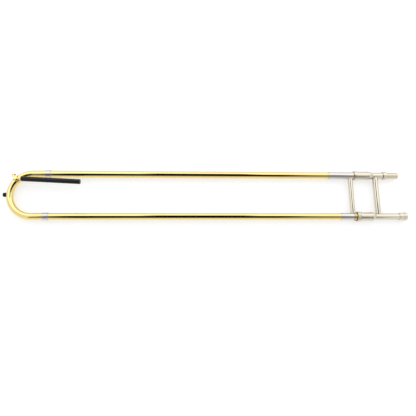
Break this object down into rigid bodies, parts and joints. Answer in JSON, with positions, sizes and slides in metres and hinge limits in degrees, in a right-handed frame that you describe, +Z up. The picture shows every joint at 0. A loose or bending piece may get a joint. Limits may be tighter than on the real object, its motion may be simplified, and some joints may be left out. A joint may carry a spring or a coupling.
{
  "type": "trombone hand slide",
  "caption": "Contrabass trombone hand slide with cork barrels, a turning slide lock, a long-handled water key on the bow, a tapered mouthpiece receiver and a tapered bell tenon.",
  "frame": {"origin": "middle of the footprint of the whole part, on the surface it lies on", "axes": "+X from the bow towards the mouthpiece receiver, +Y from the mouthpiece leg towards the bell leg, +Z up"},
  "size_m": [0.9974, 0.1314, 0.0368],
  "materials": {
    "lacquered_brass": "polished, clear lacquer",
    "nickel_silver": "polished nickel silver, a silver-grey copper, nickel and zinc alloy",
    "plain_brass": "bare, fine turned",
    "chromed_inner_tube": "mirror",
    "spring_steel": "drawn wire",
    "black_rubber": "matte, moulded",
    "black_sleeve": "satin",
    "cork": "cut cork"
  },
  "bodies": {
    "inner_slide": {"inner_tube_bell": "chromed_inner_tube", "inner_tube_mouthpiece": "chromed_inner_tube", "cork_barrel_bell": "nickel_silver", "cork_barrel_mouthpiece": "nickel_silver", "cork_bell": "cork", "cork_mouthpiece": "cork", "inner_brace": "nickel_silver", "neck_tube": "nickel_silver", "tenon_collar": "nickel_silver", "bell_tenon": "plain_brass", "receiver_tube": "nickel_silver", "receiver_bead": "nickel_silver", "leadpipe": "plain_brass"},
    "outer_slide": {"slide_bow": "lacquered_brass", "bow_ferrule_bell": "nickel_silver", "bow_ferrule_mouthpiece": "nickel_silver", "outer_tube_bell": "lacquered_brass", "outer_tube_mouthpiece": "lacquered_brass", "grip_sleeve_bell": "nickel_silver", "grip_sleeve_mouthpiece": "nickel_silver", "catch_ring": "plain_brass", "outer_brace": "nickel_silver", "bumper_stud": "lacquered_brass", "bumper": "black_rubber", "water_spout": "lacquered_brass", "water_key_saddle": "lacquered_brass", "water_key_pin": "spring_steel", "water_key_spring": "spring_steel"},
    "lock_ring": {"slide_lock_ring": "nickel_silver"},
    "water_key": {"water_key_lever": "lacquered_brass", "handle_end_cap": "lacquered_brass", "water_key_handle": "black_sleeve", "water_key_cork": "cork"}
  },
  "joints": [
    {"name": "slide_travel", "type": "slide", "parent": "inner_slide", "child": "outer_slide", "axis": [-1, 0, 0], "range_m": [0, 0.66]},
    {"name": "lock_turn", "type": "hinge", "parent": "inner_slide", "child": "lock_ring", "pos_m": [0.3709, -0.0531, 0.0126], "axis": [1, 0, 0], "range_deg": [0, 30]},
    {"name": "water_key_hinge", "type": "hinge", "parent": "outer_slide", "child": "water_key", "pos_m": [-0.46649, 0.03804, 0.0266], "axis": [0.7132, 0.7009, 0], "range_deg": [0, 10], "stiffness_Nm_per_rad": 0.2, "springref_deg": -20.05}
  ]
}
